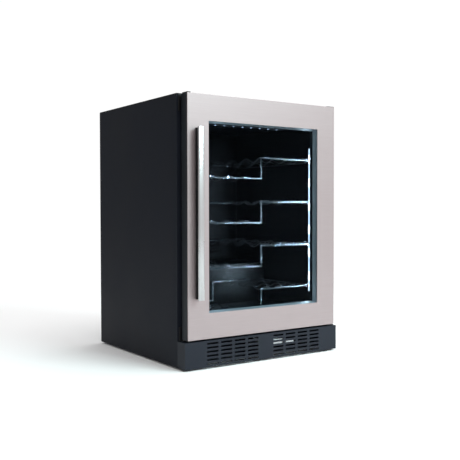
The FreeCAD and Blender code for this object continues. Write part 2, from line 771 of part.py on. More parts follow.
def make_door():
    outline_x = both(door_half)
    outline_z = (door_bottom, door_top)
    window_x = both(window_half)
    window_z = (window_bottom, window_top)
    wall = size.SkinWall

    skin = new_body("door_skin")
    pad(skin, "XZ_Plane", door_front, size.SkinReturn, [rectangle(outline_x, outline_z)])
    pocket(skin, "XZ_Plane", skin_inside, size.DoorThickness, [grown(outline_x, outline_z, -wall)])
    pocket(skin, "XZ_Plane", door_front - 1, size.DoorThickness, [rectangle(window_x, window_z)])

    core = new_body("door_core")
    groove_back = door_front + size.SkinReturn + size.DoorGroove
    pad(core, "XZ_Plane", skin_inside, groove_back - skin_inside,
        [grown(outline_x, outline_z, -wall)])
    pad(core, "XZ_Plane", groove_back, door_back - groove_back, [rectangle(outline_x, outline_z)])
    pane_edge = size.PaneOverlap
    pocket(core, "XZ_Plane", skin_inside - 1, lip_front - skin_inside + 1,
           [grown(window_x, window_z, pane_edge + 1)])
    pocket(core, "XZ_Plane", skin_inside - 1, size.DoorThickness + 2,
           [grown(window_x, window_z, -size.CoreLip)])
    bush_outer = pin_radius + size.BushWall
    for level in (door_bottom, door_top - size.BushDepth - 2):
        hole = pocket(core, "XY_Plane", level, size.BushDepth + 2, [], [(pin_x, pin_y, bush_outer)])
        core.Tip = hole

    def pane(label, y):
        x = (-window_half - pane_edge, window_half + pane_edge)
        z = (window_bottom - pane_edge, window_top + pane_edge)
        keep(label, box(label, x, y, z))

    pane("outer_glass", (skin_inside, gap_front))
    pane("inner_glass", (gap_back, lip_front))
    reveal = size.SpacerReveal
    spacer = new_body("glass_spacer")
    pad(spacer, "XZ_Plane", gap_front, gap_back - gap_front, [
        grown(window_x, window_z, size.SpacerWidth - reveal),
        grown(window_x, window_z, -reveal)])

    seal_z = (door_bottom + size.GasketDrop, door_top - size.GasketDrop)
    ring("door_gasket", (door_back, cabinet_front - size.SealClearance), both(seal_half), seal_z,
         both(seal_half - size.GasketWidth),
         (seal_z[0] + size.GasketWidth, seal_z[1] - size.GasketWidth))

    bushes = []
    for start, flange in ((door_bottom, True), (door_top - size.BushDepth, False)):
        sleeve = cylinder("bush_sleeve", bush_outer, (pin_x, pin_y, start), size.BushDepth)
        shape = sleeve
        if flange:
            rim = cylinder("bush_rim", bush_outer + 2, (pin_x, pin_y, start - 2), 2)
            shape = fuse("bush_body", [sleeve, rim])
        bore = cylinder("bush_bore", pin_radius + size.RunningClearance,
                        (pin_x, pin_y, start - 5), size.BushDepth + 10)
        bushes.append(cut("hinge_bush", shape, [bore]))
    keep("hinge_bushes", group("hinge_bushes", bushes))
    cap_x = (-door_half, 12 - door_half)
    cap_y = (door_front + 0.5, door_front + 30)
    keep("door_hole_caps", group("door_hole_caps", [
        box("cap_top", cap_x, cap_y, (door_top, top)),
        box("cap_bottom", cap_x, cap_y, (door_bottom - 2.5, door_bottom))]))


def make_handle():
    left = size.HandleInset - door_half
    right = left + size.HandleWidth
    wall = size.HandleWall
    foot = door_front - size.HandleFoot
    foot_left = left + size.HandleFootInset
    low = door_top - size.HandleDrop - size.HandleLength
    profile = doc.addObject("PartDesign::Body", "handle_profile")
    pad(profile, "XY_Plane", low, size.HandleLength, [[
        (foot_left, door_front), (right, door_front), (right, handle_front), (left, handle_front),
        (left, handle_front + wall), (right - wall, handle_front + wall), (right - wall, foot),
        (foot_left, foot)]])
    doc.recompute()
    rounding = number(wall) * 0.85
    front_edges = []
    for i, edge in enumerate(profile.Shape.Edges, start=1):
        extent = edge.BoundBox
        if extent.ZLength > number(wall) * 10 and extent.YMax < number(handle_front) + 0.01:
            front_edges.append((i, rounding, rounding))
    handle = doc.addObject("Part::Fillet", "handle")
    handle.Base = profile
    handle.Edges = front_edges
    keep("handle", handle)

    lining = 1.5
    liner = new_body("handle_liner")
    web = right - wall
    pad(liner, "XY_Plane", low + 2, size.HandleLength - 4, [[
        (foot_left, foot - lining), (web - lining, foot - lining),
        (web - lining, handle_front + wall), (web, handle_front + wall), (web, foot),
        (foot_left, foot)]])
    screws = []
    for share in (0.08, 0.5, 0.92):
        z = low + size.HandleLength * share
        x = foot_left + 4.5
        head = cylinder("screw_head", 3.5, (x, foot - lining - 2, z), 2, "y")
        shank = cylinder("screw_shank", 2, (x, foot - lining - 0.5, z), 16, "y")
        screws.append(fuse("handle_screw", [head, shank]))
    keep("handle_screws", group("handle_screws", screws))


def make_hinges():
    plate = size.BracketPlate
    low = bottom + size.KickHeight + 0.5
    arm_x = (pin_x - 14, tab_outer)
    arm_y = (pin_y - 9, cabinet_front)
    tab_x = (tab_inner, tab_outer)
    tab_y = (cabinet_front - 3, cabinet_front)

    arm = box("lower_arm", arm_x, arm_y, (low, low + plate))
    tab = box("lower_tab", tab_x, tab_y, (low - 26, low + plate))
    pin = cylinder("lower_pin", pin_radius, (pin_x, pin_y, low), size.BushDepth)
    keep("hinge_bracket_bottom", fuse("hinge_bracket_bottom", [arm, tab, pin]))

    arm_bottom = door_top + size.SealClearance
    arm = box("upper_arm", arm_x, arm_y, (arm_bottom, top))
    tab = box("upper_tab", tab_x, tab_y, (top - 50, top))
    pin = cylinder("upper_pin", pin_radius, (pin_x, pin_y, door_top - size.BushDepth + 2),
                   size.BushDepth)
    keep("hinge_bracket_top", fuse("hinge_bracket_top", [arm, tab, pin]))

    blank_x = (-tab_outer, -tab_inner)
    keep("hinge_blank_covers", group("hinge_blank_covers", [
        box("blank_top", blank_x, tab_y, (top - 52, top - 2)),
        box("blank_bottom", blank_x, tab_y, (low, low + 42))]))

    heads = []
    tab_middle = (tab_inner + tab_outer) / 2
    for z in (top - 40, top - 16):
        heads.append(cylinder("tab_screw", 4, (tab_middle, tab_y[0] - 1.2, z), 1.2, "y"))
    for x in (-200, 0, 200):
        heads.append(cylinder("rear_screw", 4, (x, back_face, bay_top + 20), 1.8, "y"))
        heads.append(cylinder("rear_screw", 4, (x, back_face, lid_underside - 12), 1.8, "y"))
        heads.append(cylinder("cover_screw", 4, (x, back_face, bay_top - 12), 1.8, "y"))
    heads.append(cylinder("plinth_screw", 3, (0, cabinet_front - 18, bottom + size.KickHeight), 1.5))
    keep("cabinet_screws", group("cabinet_screws", heads))


# --- build, check and write ----------------------------------------------------------------

make_shell()
make_base()
make_plinth()
make_room()
make_racks()
make_machine()
make_door()
make_handle()
make_hinges()
doc.recompute()

for item in doc.Objects:
    if "Invalid" in item.State or "Error" in item.State:
        raise RuntimeError(f"{item.Label} did not rebuild: {item.State}")

os.makedirs("parts", exist_ok=True)
for label, piece in nodes.items():
    shape = piece.Shape
    if shape.isNull() or not shape.isValid() or not shape.Solids:
        raise RuntimeError(f"{label} has no valid shape")
    shape.exportStep(f"parts/{label}.step")
    print(label, len(shape.Solids), round(shape.Volume / 1000, 1))
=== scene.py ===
import json
import math

import bmesh
import bpy
from mathutils import Matrix, Vector


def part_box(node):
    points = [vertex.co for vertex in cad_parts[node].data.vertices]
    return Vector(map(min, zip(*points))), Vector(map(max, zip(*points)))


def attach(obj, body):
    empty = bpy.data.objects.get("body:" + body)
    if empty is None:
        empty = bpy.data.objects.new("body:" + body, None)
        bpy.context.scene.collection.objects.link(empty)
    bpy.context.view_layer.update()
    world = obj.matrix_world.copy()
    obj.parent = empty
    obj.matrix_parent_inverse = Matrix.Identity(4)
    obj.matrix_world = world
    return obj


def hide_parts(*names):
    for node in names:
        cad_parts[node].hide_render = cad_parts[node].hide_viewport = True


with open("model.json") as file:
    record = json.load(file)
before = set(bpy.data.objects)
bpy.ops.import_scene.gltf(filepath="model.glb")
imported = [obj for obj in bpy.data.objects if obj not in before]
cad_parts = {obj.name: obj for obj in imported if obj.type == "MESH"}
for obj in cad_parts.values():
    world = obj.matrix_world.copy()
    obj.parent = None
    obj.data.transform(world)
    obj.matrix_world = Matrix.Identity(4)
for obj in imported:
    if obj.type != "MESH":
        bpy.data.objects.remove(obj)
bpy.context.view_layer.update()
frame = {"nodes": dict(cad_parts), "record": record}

mm = 0.001
nodes = frame["nodes"]
bodyOf = {node: body for body, members in frame["record"]["behaviour"]["bodies"].items()
          for node in members}


def linearColour(hexCode):
    # sRGB hex to the linear values that shaders take
    parts = [int(hexCode[i:i + 2], 16) / 255 for i in (1, 3, 5)]
    return (*[p / 12.92 if p <= 0.04045 else ((p + 0.055) / 1.055) ** 2.4 for p in parts], 1.0)


def addNode(tree, kind, links=None, sockets=None, **settings):
    node = tree.nodes.new(kind)
    for key, value in settings.items():
        setattr(node, key, value)
    for key, value in (sockets or {}).items():
        node.inputs[key].default_value = value
    for key, source in (links or {}).items():
        tree.links.new(source, node.inputs[key])
    return node


def startMaterial(name):
    material = bpy.data.materials.new(name)
    material.use_nodes = True
    material.node_tree.nodes.clear()
    place = addNode(material.node_tree, "ShaderNodeTexCoord").outputs["Object"]
    return material, material.node_tree, place


def endMaterial(material, tree, shader):
    addNode(tree, "ShaderNodeOutputMaterial", {"Surface": shader})
    return material


def colourRamp(tree, source, stops):
    ramp = addNode(tree, "ShaderNodeValToRGB", {"Fac": source})
    while len(ramp.color_ramp.elements) < len(stops):
        ramp.color_ramp.elements.new(0.5)
    for element, (position, hexCode) in zip(ramp.color_ramp.elements, stops):
        element.position = position
        element.color = linearColour(hexCode)
    return ramp.outputs["Color"]


def noiseOf(tree, place, sizeMm, detail=2.0, stretch=None):
    # soft noise whose blotches are sizeMm across, drawn out along one axis if asked
    vector = place
    if stretch:
        axis, lengthMm = stretch
        scale = [1.0, 1.0, 1.0]
        scale["xyz".index(axis)] = sizeMm / lengthMm
        vector = addNode(tree, "ShaderNodeMapping", {"Vector": place}, {"Scale": scale}).outputs[0]
    return addNode(tree, "ShaderNodeTexNoise", {"Vector": vector},
                   {"Scale": 1 / (sizeMm * mm), "Detail": detail}).outputs["Fac"]


def roughnessOf(tree, source, middle, spread):
    return addNode(tree, "ShaderNodeMapRange", {"Value": source}, {
        "From Min": 0.3, "From Max": 0.7, "To Min": middle - spread,
        "To Max": middle + spread}).outputs[0]


def bumpOf(tree, height, depthMm, strength, under=None):
    links = {"Height": height}
    if under:
        links["Normal"] = under
    return addNode(tree, "ShaderNodeBump", links,
                   {"Strength": strength, "Distance": depthMm * mm}).outputs[0]


def brushedStainless(name, look):
    # stainless sheet, belt-brushed: hairlines along one way smear every reflection across it,
    # and the fine ones are drawn wider than the real 0.05 mm so that they show
    material, tree, place = startMaterial(name)
    hairline = noiseOf(tree, place, look["hairline"], 4.0, (look["along"], look["stroke"]))
    stroke = noiseOf(tree, place, look["hairline"] * 6, 2.0, (look["along"], look["stroke"] * 3))
    smudge = noiseOf(tree, place, 140, 3.0)
    mixed = addNode(tree, "ShaderNodeMix", {2: hairline, 3: stroke}, {0: 0.35})
    colour = colourRamp(tree, mixed.outputs[0], [(0.3, look["dark"]), (0.7, look["light"])])
    normal = bumpOf(tree, hairline, 0.02, look["bump"])
    shader = addNode(tree, "ShaderNodeBsdfPrincipled", {
        "Base Color": colour, "Roughness": roughnessOf(tree, smudge, look["roughness"], 0.03),
        "Normal": normal}, {"Metallic": look["metallic"]})
    return endMaterial(material, tree, shader.outputs[0])


def powderCoat(name, look):
    # steel with a baked powder coat: faint orange peel 1-2 mm across under a soft sheen
    material, tree, place = startMaterial(name)
    peel = noiseOf(tree, place, look["peel"], 2.0)
    drift = noiseOf(tree, place, 180, 3.0)
    grit = noiseOf(tree, place, 0.7, 3.0)
    mixed = addNode(tree, "ShaderNodeMix", {2: drift, 3: grit}, {0: 0.3})
    colour = colourRamp(tree, mixed.outputs[0], [(0.35, look["dark"]), (0.65, look["light"])])
    normal = bumpOf(tree, peel, 0.06, look["bump"])
    shader = addNode(tree, "ShaderNodeBsdfPrincipled", {
        "Base Color": colour, "Roughness": roughnessOf(tree, drift, look["roughness"], 0.04),
        "Normal": normal}, {"Specular IOR Level": look["specular"]})
    return endMaterial(material, tree, shader.outputs[0])


def mouldedPlastic(name, look):
    # injection-moulded or vacuum-formed plastic: fine spark-eroded grain, slow drift in sheen
    material, tree, place = startMaterial(name)
    grain = noiseOf(tree, place, look["grain"], 3.0)
    drift = noiseOf(tree, place, 90, 3.0)
    colour = colourRamp(tree, drift, [(0.35, look["dark"]), (0.65, look["light"])])
    normal = bumpOf(tree, grain, 0.05, look["bump"])
    shader = addNode(tree, "ShaderNodeBsdfPrincipled", {
        "Base Color": colour, "Roughness": roughnessOf(tree, drift, look["roughness"], 0.05),
        "Normal": normal}, {"Specular IOR Level": look["specular"]})
    return endMaterial(material, tree, shader.outputs[0])


def metalOf(name, look):
    # drawn, plated, cast or galvanised metal: crystals or die marks mottle colour and shine
    material, tree, place = startMaterial(name)
    mottle = noiseOf(tree, place, look["mottle"], 4.0)
    if look.get("spangle"):
        cells = addNode(tree, "ShaderNodeTexVoronoi", {"Vector": place},
                        {"Scale": 1 / (look["spangle"] * mm)}, feature="F1")
        cellTone = addNode(tree, "ShaderNodeSeparateColor", {"Color": cells.outputs["Color"]})
        mottle = addNode(tree, "ShaderNodeMix", {2: mottle, 3: cellTone.outputs[0]},
                         {0: 0.3}).outputs[0]
    colour = colourRamp(tree, mottle, [(0.25, look["dark"]), (0.75, look["light"])])
    shader = addNode(tree, "ShaderNodeBsdfPrincipled", {
        "Base Color": colour, "Roughness": roughnessOf(tree, mottle, look["roughness"], 0.05),
        "Normal": bumpOf(tree, mottle, 0.03, look["bump"])}, {"Metallic": 1.0})
    return endMaterial(material, tree, shader.outputs[0])


def coatedGlass(name, look):
    # low-emissivity float glass: clear with a grey cast; its thin sheen grows at glancing angles
    material, tree, place = startMaterial(name)
    wave = noiseOf(tree, place, 240, 1.0)
    tint = colourRamp(tree, wave, [(0.3, look["tint"]), (0.7, look["tintLight"])])
    through = addNode(tree, "ShaderNodeBsdfTransparent", {"Color": tint})
    sheen = addNode(tree, "ShaderNodeBsdfGlossy", {"Normal": bumpOf(tree, wave, 0.5, 0.02)},
                    {"Color": linearColour(look["sheen"]), "Roughness": 0.03})
    rim = addNode(tree, "ShaderNodeFresnel", sockets={"IOR": look["ior"]})
    both = addNode(tree, "ShaderNodeMixShader", {
        0: rim.outputs[0], 1: through.outputs[0], 2: sheen.outputs[0]})
    return endMaterial(material, tree, both.outputs[0])


def opalLamp(name, look):
    # opal polycarbonate over a row of lamps: an even glow with a soft hot spot over each one
    material, tree, place = startMaterial(name)
    height = addNode(tree, "ShaderNodeSeparateXYZ", {"Vector": place}).outputs["Z"]
    phase = addNode(tree, "ShaderNodeMath", {0: height},
                    {1: look["first"] * mm}, operation="SUBTRACT")
    turn = addNode(tree, "ShaderNodeMath", {0: phase.outputs[0]},
                   {1: math.tau / (look["pitch"] * mm)}, operation="MULTIPLY")
    wave = addNode(tree, "ShaderNodeMath", {0: turn.outputs[0]}, operation="COSINE")
    glow = addNode(tree, "ShaderNodeMapRange", {"Value": wave.outputs[0]}, {
        "From Min": 0.3, "From Max": 1.0, "To Min": look["low"], "To Max": look["high"]})
    shader = addNode(tree, "ShaderNodeBsdfPrincipled", {"Emission Strength": glow.outputs[0]}, {
        "Base Color": linearColour(look["body"]), "Roughness": 0.4,
        "Emission Color": linearColour(look["glow"])})
    return endMaterial(material, tree, shader.outputs[0])


lampRow = {"count": 6, "pitch": 80, "first": 247, "radius": 3.2, "proud": 1.6}  # mm

finishes = {
    "doorSteel": brushedStainless("satinStainlessSheet", {
        "light": "#A99C9D", "dark": "#A39697", "roughness": 0.46, "bump": 0.16,
        "metallic": 0.75, "hairline": 0.6, "along": "x", "stroke": 60}),
    "handleSteel": brushedStainless("brushedStainlessProfile", {
        "light": "#BFBEBF", "dark": "#ACABAC", "roughness": 0.28, "bump": 0.2,
        "metallic": 1.0, "hairline": 0.4, "along": "z", "stroke": 80}),
    "cabinetBlack": powderCoat("blackPowderCoat", {
        "light": "#1A1D25", "dark": "#171A21", "roughness": 0.52, "bump": 0.25, "peel": 1.4,
        "specular": 0.10}),
    "topBlack": powderCoat("blackPowderCoatLid", {
        "light": "#18191C", "dark": "#151619", "roughness": 0.46, "bump": 0.25, "peel": 1.4,
        "specular": 0.2}),
    "plinthBlack": powderCoat("anthracitePowderCoat", {
        "light": "#22262F", "dark": "#1D2129", "roughness": 0.42, "bump": 0.2, "peel": 1.2,
        "specular": 0.16}),
    "enamel": powderCoat("blackStovedEnamel", {
        "light": "#151517", "dark": "#101012", "roughness": 0.25, "bump": 0.4, "peel": 2.2,
        "specular": 0.5}),
    "blackPlastic": mouldedPlastic("blackAbs", {
        "light": "#131316", "dark": "#0E0E10", "roughness": 0.45, "bump": 0.3, "grain": 0.8,
        "specular": 0.35}),
    "linerBlack": mouldedPlastic("blackFormedPolystyrene", {
        "light": "#0A0B0D", "dark": "#070709", "roughness": 0.34, "bump": 0.12, "grain": 1.6,
        "specular": 0.4}),
    "doorSide": mouldedPlastic("blackPvcProfile", {
        "light": "#1E2328", "dark": "#191E22", "roughness": 0.42, "bump": 0.2, "grain": 0.9,
        "specular": 0.25}),
    "sealVinyl": mouldedPlastic("blackVinylSeal", {
        "light": "#0D0D0E", "dark": "#08080A", "roughness": 0.62, "bump": 0.3, "grain": 0.7,
        "specular": 0.3}),
    "whitePlastic": mouldedPlastic("whiteAbs", {
        "light": "#F2F3F5", "dark": "#E8EAEE", "roughness": 0.35, "bump": 0.15, "grain": 0.8,
        "specular": 0.5}),
    "acetal": mouldedPlastic("naturalAcetal", {
        "light": "#E4E3DA", "dark": "#D8D7CD", "roughness": 0.35, "bump": 0.1, "grain": 0.8,
        "specular": 0.5}),
    "foam": mouldedPlastic("rigidPolyurethaneFoam", {
        "light": "#E6D7A4", "dark": "#D2BF86", "roughness": 0.85, "bump": 1.0, "grain": 1.6,
        "specular": 0.2}),
    "smokedAcrylic": mouldedPlastic("smokedAcrylic", {
        "light": "#060608", "dark": "#040405", "roughness": 0.12, "bump": 0.02, "grain": 3,
        "specular": 0.6}),
    "foilLabel": mouldedPlastic("silverPolyesterLabel", {
        "light": "#C9CBCE", "dark": "#BDBFC3", "roughness": 0.4, "bump": 0.05, "grain": 2,
        "specular": 0.5}),
    "galvanised": metalOf("galvanisedSheet", {
        "light": "#AEB1B5", "dark": "#989B9F", "roughness": 0.42, "bump": 0.12, "mottle": 18,
        "spangle": 7}),
    # near-white, bluish base colour: painted light, standing in for the LED light that falls on the
    # spacer from inside the cabinet
    "spacer": mouldedPlastic("warmEdgeSpacerPaintedLight", {
        "light": "#EEF6FC", "dark": "#E2EBF2", "roughness": 0.5, "bump": 0.1, "grain": 1.2,
        "specular": 0.5}),
    "channel": metalOf("milledAluminiumChannel", {
        "light": "#8F9BAA", "dark": "#7A8695", "roughness": 0.38, "bump": 0.2, "mottle": 2}),
    "finAluminium": metalOf("finStockAluminium", {
        "light": "#C3C5C8", "dark": "#A9ABAF", "roughness": 0.35, "bump": 0.2, "mottle": 1.5}),
    "brightWire": metalOf("nickelPlatedWire", {
        "light": "#E4E6E9", "dark": "#CDD0D4", "roughness": 0.24, "bump": 0.02, "mottle": 3}),
    "zinc": metalOf("zincPlatedSteel", {
        "light": "#B1B3B5", "dark": "#8F9194", "roughness": 0.32, "bump": 0.1, "mottle": 1.5}),
    "blackZinc": metalOf("blackPassivatedSteel", {
        "light": "#3A3A3D", "dark": "#2A2A2C", "roughness": 0.42, "bump": 0.1, "mottle": 2}),
    "brightPin": metalOf("turnedSteelPin", {
        "light": "#D8D9DB", "dark": "#BEC0C3", "roughness": 0.2, "bump": 0.1, "mottle": 1}),
    "brass": metalOf("nickelledBrassPin", {
        "light": "#C9BE9A", "dark": "#AFA37D", "roughness": 0.25, "bump": 0.1, "mottle": 1}),
    "copper": metalOf("drawnCopperTube", {
        "light": "#C9805A", "dark": "#A26040", "roughness": 0.3, "bump": 0.04, "mottle": 6}),
    "glass": coatedGlass("coatedFloatGlass", {
        "tint": "#D9DFE2", "tintLight": "#DEE3E6", "sheen": "#5E646A", "ior": 1.14}),
    "lampCover": opalLamp("opalLampCover", {
        "body": "#F4F8FF", "glow": "#E6F1FF", "pitch": lampRow["pitch"],
        "first": lampRow["first"], "low": 4.0, "high": 26.0}),
    "lampChip": opalLamp("clearLampLens", {
        "body": "#F4F8FF", "glow": "#F2F8FF", "pitch": lampRow["pitch"],
        "first": lampRow["first"], "low": 60.0, "high": 90.0}),
    "touchDot": opalLamp("opalTouchDot", {
        "body": "#DCE8FF", "glow": "#D5E2FF", "pitch": 50, "first": 741, "low": 1.4,
        "high": 2.2}),
}

nodeFinish = {
    "side_panel_left": "cabinetBlack", "side_panel_right": "cabinetBlack", "top_panel": "topBlack",
    "rear_panel": "galvanised", "machine_bay_wall": "galvanised", "inner_liner": "linerBlack",
    "insulation_foam": "foam", "front_frame": "blackPlastic", "base_tray": "galvanised",
    "foot_nuts": "zinc", "machine_cover": "galvanised", "kick_grille": "plinthBlack",
    "shelf_rails": "linerBlack", "duct_cover": "linerBlack", "evaporator": "finAluminium",
    "evaporator_fan_shroud": "blackPlastic", "evaporator_fan_motor": "blackPlastic",
    "evaporator_fan_blades": "blackPlastic", "charcoal_filter": "blackPlastic",
    "temperature_sensor": "whitePlastic", "control_panel": "blackPlastic",
    "display_window": "smokedAcrylic", "status_leds": "touchDot", "led_channels": "channel",
    "led_diffusers": "lampCover", "shelf_1": "brightWire", "shelf_2": "brightWire",
    "shelf_3": "brightWire", "shelf_4": "brightWire", "compressor": "enamel",
    "compressor_grommets": "sealVinyl", "relay_cover": "blackPlastic",
    "condenser": "finAluminium", "condenser_fan_shroud": "blackPlastic",
    "condenser_fan_motor": "blackPlastic", "condenser_fan_blades": "blackPlastic",
    "drip_tray": "blackPlastic", "filter_drier": "copper", "refrigerant_pipes": "copper",
    "power_board_box": "whitePlastic", "power_inlet": "blackPlastic", "door_skin": "doorSteel",
    "door_core": "doorSide", "outer_glass": "glass", "inner_glass": "glass",
    "glass_spacer": "spacer", "door_gasket": "sealVinyl", "hinge_bushes": "acetal",
    # the handle liner's black plastic fills the handle's open recess and stands in for the shade
    # there: painted shade
    "door_hole_caps": "blackPlastic", "handle": "handleSteel", "handle_liner": "blackPlastic",
    "handle_screws": "blackZinc", "hinge_bracket_bottom": "blackZinc",
    "hinge_bracket_top": "blackZinc", "hinge_blank_covers": "blackPlastic",
    "cabinet_screws": "zinc", "foot_front_left": "blackPlastic",
    "foot_front_right": "blackPlastic", "foot_rear_left": "blackPlastic",
    "foot_rear_right": "blackPlastic",
}
for name, finish in nodeFinish.items():
    for slot in nodes[name].material_slots:
        slot.material = finishes[finish]
print("finishes assigned to", len(nodeFinish), "nodes")


def addPiece(name, shape, finish, like, replaces=(), sharpAngle=35):
    # a finished bmesh becomes a piece that rides with the body of the CAD node it goes with
    bmesh.ops.recalc_face_normals(shape, faces=shape.faces)
    mesh = bpy.data.meshes.new(name)
    shape.to_mesh(mesh)
    shape.free()
    mesh.materials.append(finishes[finish])
    mesh.shade_smooth()
    mesh.set_sharp_from_angle(angle=math.radians(sharpAngle))
    piece = bpy.data.objects.new(name, mesh)
    bpy.context.scene.collection.objects.link(piece)
    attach(piece, bodyOf[like])
    if replaces:
        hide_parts(*replaces)
    return piece


def mergedCopy(nodeName, flatten=True):
    shape = bmesh.new()
    shape.from_mesh(nodes[nodeName].data)
    bmesh.ops.remove_doubles(shape, verts=shape.verts, dist=0.002 * mm)
    if flatten:
        bmesh.ops.dissolve_limit(shape, angle_limit=math.radians(0.5), verts=shape.verts,
                                 edges=shape.edges)
    return shape


def softened(nodeName, width, segments=2):
    # the same part with its corners broken, as folded sheet and moulded corners are
    piece = addPiece(nodeName + "Soft", mergedCopy(nodeName), nodeFinish[nodeName], nodeName,
                     [nodeName])
    bevel = piece.modifiers.new("brokenEdges", "BEVEL")
    bevel.width = width * mm
    bevel.segments = segments
    bevel.limit_method = "ANGLE"
    bevel.angle_limit = math.radians(35)
    bevel.harden_normals = True
    return piece


def moved(shape, before, centre, axis=(0, 0, 1)):
    # takes what was made about the origin since `before`, turns its Z to the axis, and places it
    made = [v for v in shape.verts if v not in before]
    turn = Vector((0, 0, 1)).rotation_difference(Vector(axis)).to_matrix().to_4x4()
    bmesh.ops.transform(shape, matrix=Matrix.Translation(Vector(centre)) @ turn, verts=made)
    return made


def addTurned(shape, outline, centre, axis=(0, 0, 1), steps=32):
    # radius and height pairs in mm, turned once about the axis
    before = set(shape.verts)
    chain = [shape.verts.new((r * mm, 0, z * mm)) for r, z in outline]
    edges = [shape.edges.new(pair) for pair in zip(chain, chain[1:])]
    bmesh.ops.spin(shape, geom=chain + edges, cent=(0, 0, 0), axis=(0, 0, 1),
                   angle=math.tau, steps=steps, use_merge=True)
    made = [v for v in shape.verts if v not in before]
    bmesh.ops.remove_doubles(shape, verts=made, dist=0.001 * mm)
    return moved(shape, before, centre, axis)


def addRing(shape, ringRadius, wireRadius, centre, axis, steps=40, sides=8):
    # a wire ring
    before = set(shape.verts)
    loop = bmesh.ops.create_circle(shape, segments=sides, radius=wireRadius * mm)["verts"]
    bmesh.ops.transform(shape, verts=loop, matrix=Matrix.Translation((ringRadius * mm, 0, 0))
                        @ Matrix.Rotation(math.pi / 2, 4, "X"))
    edges = list({e for v in loop for e in v.link_edges})
    bmesh.ops.spin(shape, geom=loop + edges, cent=(0, 0, 0), axis=(0, 0, 1), angle=math.tau,
                   steps=steps, use_merge=True)
    return moved(shape, before, centre, axis)


def addRod(shape, start, end, radius, sides=10):
    # a round bar between two points in metres
    before = set(shape.verts)
    line = Vector(end) - Vector(start)
    bmesh.ops.create_cone(shape, cap_ends=True, segments=sides, radius1=radius * mm,
                          radius2=radius * mm, depth=line.length)
    return moved(shape, before, (Vector(start) + Vector(end)) / 2, line.normalized())


def addBlock(shape, low, high, corner, axis="z", segments=3):
    # a plate between two corners, in metres, its edges along one axis rounded by `corner` mm
    low, high = Vector(low), Vector(high)
    made = bmesh.ops.create_cube(shape, size=1.0)["verts"]
    bmesh.ops.scale(shape, verts=made, vec=high - low)
    bmesh.ops.translate(shape, verts=made, vec=(low + high) / 2)
    if corner:
        index = "xyz".index(axis)
        upright = [e for e in {e for v in made for e in v.link_edges}
                   if abs((e.verts[0].co - e.verts[1].co)[index]) > 1e-6]
        bmesh.ops.bevel(shape, geom=upright, offset=corner * mm, offset_type="OFFSET",
                        affect="EDGES", segments=segments, profile=0.5, material=-1)


def solidBoxes(nodeName):
    # the lowest and highest corners of each separate solid in a node
    shape = bmesh.new()
    shape.from_mesh(nodes[nodeName].data)
    bmesh.ops.remove_doubles(shape, verts=shape.verts, dist=0.002 * mm)
    left, boxes = set(shape.verts), []
    while left:
        island = [left.pop()]
        for vert in island:
            for edge in vert.link_edges:
                other = edge.other_vert(vert)
                if other in left:
                    left.remove(other)
                    island.append(other)
        boxes.append((Vector([min(v.co[i] for v in island) for i in range(3)]),
                      Vector([max(v.co[i] for v in island) for i in range(3)])))
    shape.free()
    return sorted(boxes, key=lambda pair: tuple(pair[0]))


edgeRadii = {  # mm
    "side_panel_left": 0.5, "side_panel_right": 0.5, "top_panel": 0.9, "kick_grille": 0.5,
    "door_skin": 0.7, "door_core": 0.5, "front_frame": 0.4, "handle_liner": 0.3,
    "hinge_bracket_bottom": 0.5, "hinge_bracket_top": 0.5,
    "hinge_blank_covers": 0.8, "door_hole_caps": 0.8, "control_panel": 1.2, "duct_cover": 0.8,
    "shelf_rails": 0.8, "led_channels": 0.5, "inner_liner": 0.6, "power_board_box": 1.0,
    "compressor": 1.5, "relay_cover": 1.5, "condenser_fan_shroud": 0.5, "condenser_fan_motor": 1.0,
    "drip_tray": 0.4, "evaporator_fan_shroud": 0.4, "evaporator_fan_motor": 1.0,
    "charcoal_filter": 1.2, "temperature_sensor": 1.0, "display_window": 0.3,
    "machine_cover": 0.2, "rear_panel": 0.2, "base_tray": 0.3, "filter_drier": 1.0,
    "power_inlet": 0.5,
}
for name, width in edgeRadii.items():
    softened(name, width)
print("edges broken on", len(edgeRadii), "parts")

for name in ("shelf_1", "shelf_2", "shelf_3", "shelf_4", "refrigerant_pipes",
             "evaporator_fan_blades", "condenser_fan_blades", "hinge_bushes",
             "compressor_grommets"):
    addPiece(name + "Smooth", mergedCopy(name, flatten=False), nodeFinish[name], name, [name])
print("wires, pipes and blades smoothed")


handleForm = {
    # mm: distance in from the open side, height off the front, going round the drawn profile
    "outline": [(1.4, 4.6), (1.1, 3.6), (1.5, 2.4), (2.9, 1.3), (5.4, 0.5), (9.0, 0.1),
                (14.5, 0.0), (18.2, 0.2), (20.2, 0.7), (21.0, 1.6), (21.3, 2.8), (21.3, 27.0),
                (16.3, 27.0), (16.3, 5.4), (5.0, 5.4), (2.6, 5.2)],
    "endEase": 0.6,
}


def addHandle(look):
    # a drawn stainless pull: its front rolls round to the open side, where black plastic fills it;
    # that black stands in for the shade inside the recess, so it is painted shade
    low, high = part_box("handle")
    shape = bmesh.new()
    loop = [shape.verts.new((low.x + u * mm, low.y + w * mm, low.z)) for u, w in look["outline"]]
    end = bmesh.ops.contextual_create(shape, geom=loop)["faces"]
    drawn = bmesh.ops.extrude_face_region(shape, geom=end)["geom"]
    bmesh.ops.translate(shape, vec=(0, 0, high.z - low.z),
                        verts=[g for g in drawn if isinstance(g, bmesh.types.BMVert)])
    bmesh.ops.recalc_face_normals(shape, faces=shape.faces)
    rims = [e for e in shape.edges if abs(e.verts[0].co.z - e.verts[1].co.z) < 0.01 * mm]
    bmesh.ops.bevel(shape, geom=rims, offset=look["endEase"] * mm, offset_type="OFFSET",
                    affect="EDGES", segments=2, profile=0.5, material=-1)
    addPiece("handleDrawn", shape, "handleSteel", "handle", ["handle"], sharpAngle=40)


addHandle(handleForm)
print("handle drawn")

spacerForm = {  # mm: inwards and backwards from the window's edge
    "outline": [(-5.5, 0.05), (0.2, 0.05), (4.2, 13.9), (-5.5, 13.9)],
}


